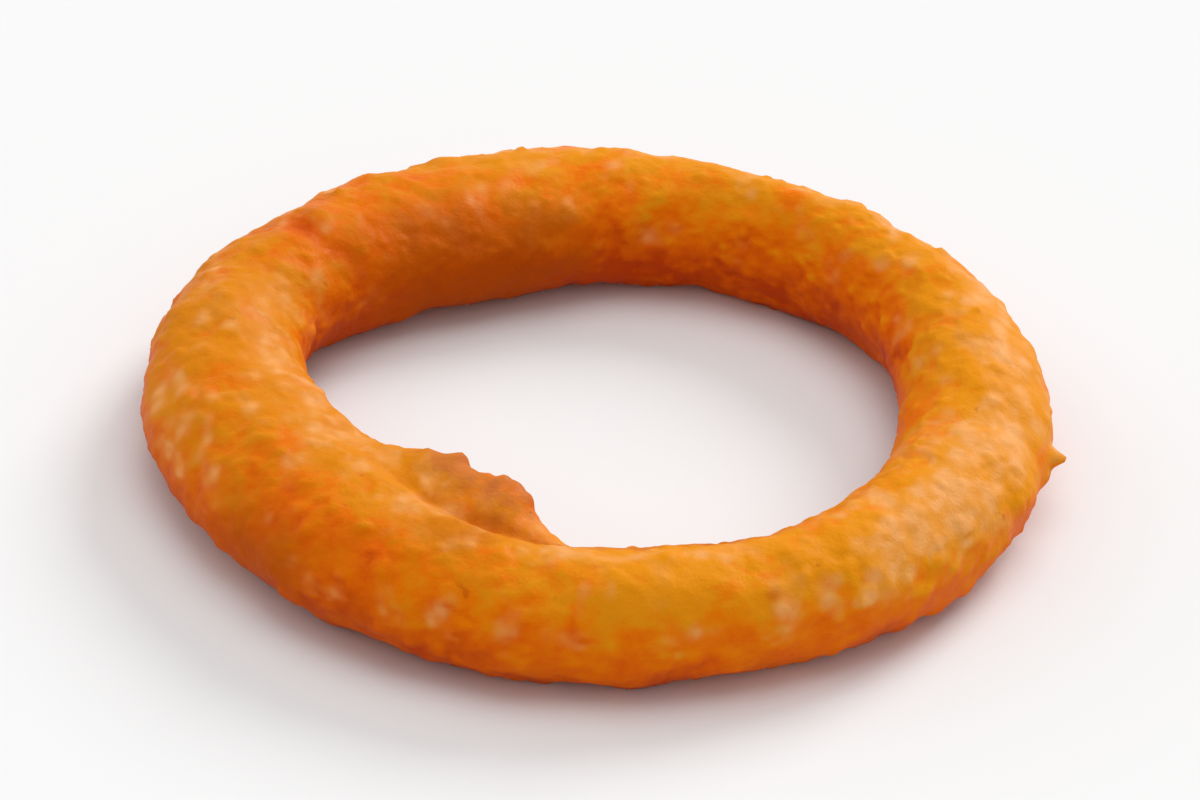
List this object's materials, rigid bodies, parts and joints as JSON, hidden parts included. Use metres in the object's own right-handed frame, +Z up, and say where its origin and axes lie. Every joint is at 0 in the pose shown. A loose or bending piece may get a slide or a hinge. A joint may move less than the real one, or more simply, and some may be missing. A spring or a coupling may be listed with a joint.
{
  "type": "onion ring",
  "caption": "Battered and fried onion ring, a slightly uneven round tube of golden batter lying flat, open through the middle.",
  "frame": {"origin": "centre of the outer box at the height of the surface that the ring lies on", "axes": "+Z up through the hole, +X across the ring's longer side, thick side of the batter towards -X and -Y"},
  "size_m": [0.079, 0.0756, 0.0116],
  "materials": {
    "fried_batter": "golden brown fried batter with a soft sheen, paler on the crests and redder in the hollows; stands for cooked food"
  },
  "bodies": {
    "root": {"onion_ring": "fried_batter"}
  },
  "joints": []
}
